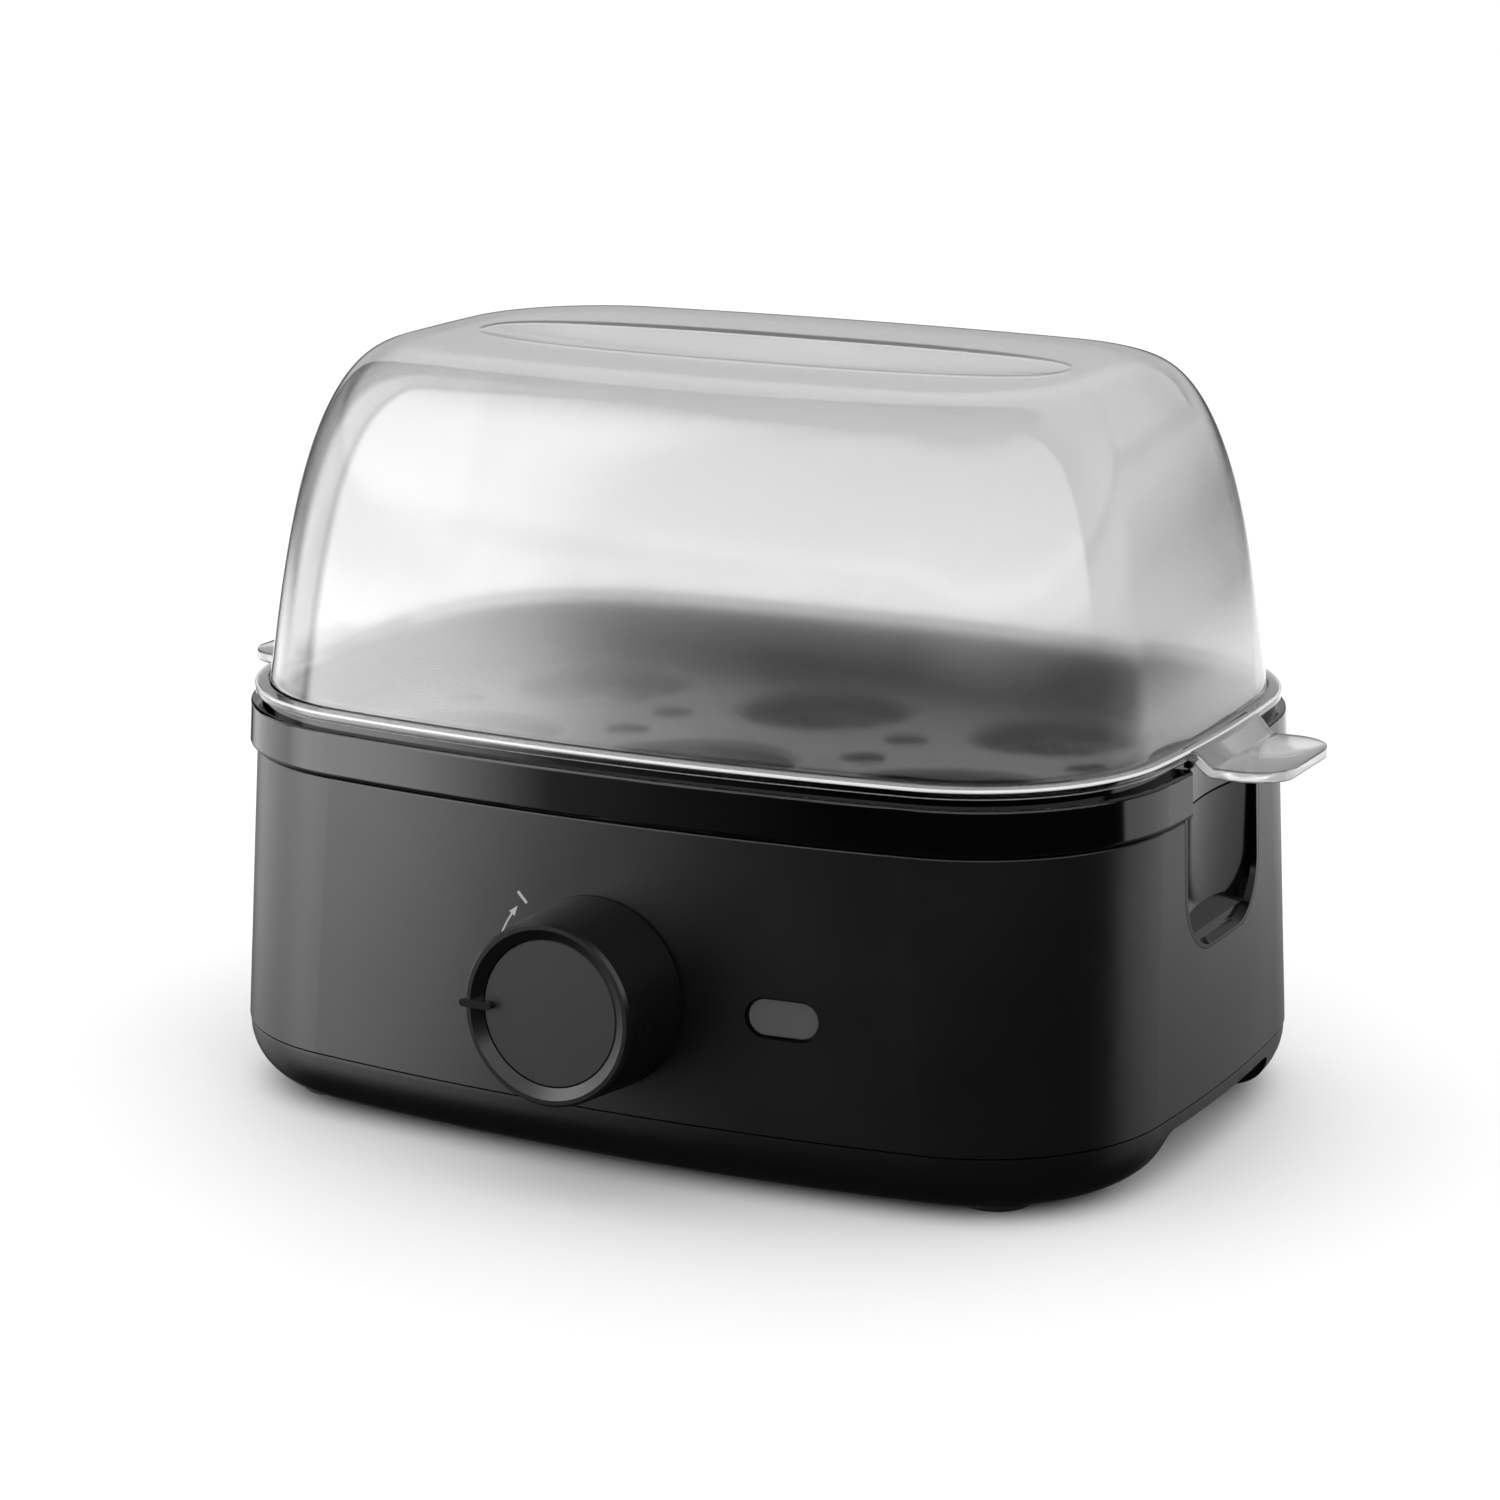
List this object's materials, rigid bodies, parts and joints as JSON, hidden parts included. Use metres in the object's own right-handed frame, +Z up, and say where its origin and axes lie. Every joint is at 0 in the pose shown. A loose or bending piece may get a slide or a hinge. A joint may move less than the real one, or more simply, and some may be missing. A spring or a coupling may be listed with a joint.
{
  "type": "egg cooker",
  "caption": "Countertop egg steamer: rounded black housing with a front rotary knob and indicator window, glossy collar with finger pockets, lift-out egg tray and clear domed lid with end tabs.",
  "frame": {"origin": "on the worktop, under the middle of the whole object's outline, knob and tabs included", "axes": "+Z up; +X to the right seen from the front; the front face with the knob points to -Y"},
  "size_m": [0.253, 0.1795, 0.1644],
  "materials": {
    "shell_black": "satin, very fine grain",
    "gloss_black": "high gloss",
    "base_black": "satin, very fine grain",
    "knob_black": "satin with a glossy rim",
    "cap_grey": "fine matte",
    "pointer_black": "gloss",
    "foot_rubber": "matte",
    "screw_steel": "zinc plated",
    "dish_steel": "pressed, non-stick underside bare",
    "seal_silicone": "matte translucent grey",
    "plate_aluminium": "cast, plain",
    "element_steel": "heat-darkened",
    "shield_steel": "bright rolled",
    "thermostat_brown": "phenolic",
    "fuse_white": "glazed",
    "switch_grey": "moulded",
    "board_green": "solder resist over glass laminate",
    "relay_blue": "moulded",
    "part_black": "moulded",
    "lens_grey": "smoked translucent",
    "light_white": "diffusing",
    "terminal_white": "moulded",
    "tray_black": "satin",
    "lid_clear": "clear, faintly smoked"
  },
  "bodies": {
    "housing": {"base_cover": "base_black", "foot_front_left": "foot_rubber", "foot_front_right": "foot_rubber", "foot_rear_left": "foot_rubber", "foot_rear_right": "foot_rubber", "cord_cleat_left": "base_black", "cord_cleat_right": "base_black", "base_screws": "screw_steel", "body_shell": "shell_black", "shell_posts": "switch_grey", "collar": "gloss_black", "pocket_liner_left": "gloss_black", "pocket_liner_right": "gloss_black", "heating_dish": "dish_steel", "dish_seal": "seal_silicone", "dish_screws": "screw_steel", "heater_plate": "plate_aluminium", "heating_element": "element_steel", "thermostat": "thermostat_brown", "thermostat_bracket": "shield_steel", "thermal_fuse": "fuse_white", "heat_shield": "shield_steel", "shield_standoffs": "screw_steel", "rotary_switch": "switch_grey", "control_board": "board_green", "board_spacers": "switch_grey", "board_screws": "screw_steel", "relay": "relay_blue", "buzzer": "part_black", "capacitor": "part_black", "indicator_lens": "lens_grey", "indicator_light": "light_white", "terminal_block": "terminal_white", "cord_grommet": "base_black"},
    "knob": {"knob": "knob_black", "knob_cap": "cap_grey", "knob_pointer": "pointer_black", "knob_shaft": "screw_steel"},
    "egg_tray": {"egg_tray": "tray_black", "tray_rim": "tray_black", "seat_ring_front_left": "tray_black", "seat_ring_front_middle": "tray_black", "seat_ring_front_right": "tray_black", "seat_ring_rear_left": "tray_black", "seat_ring_rear_middle": "tray_black", "seat_ring_rear_right": "tray_black"},
    "lid": {"lid": "lid_clear"}
  },
  "joints": [
    {"name": "knob_turn", "type": "hinge", "parent": "housing", "child": "knob", "pos_m": [0, -0.06776, 0.0403], "axis": [0, 0.9993, -0.0373], "range_deg": [0, 45]},
    {"name": "tray_lift", "type": "slide", "parent": "housing", "child": "egg_tray", "axis": [0, 0, 1], "range_m": [0, 0.12]},
    {"name": "lid_lift", "type": "slide", "parent": "egg_tray", "child": "lid", "axis": [0, 0, 1], "range_m": [0, 0.14]}
  ]
}
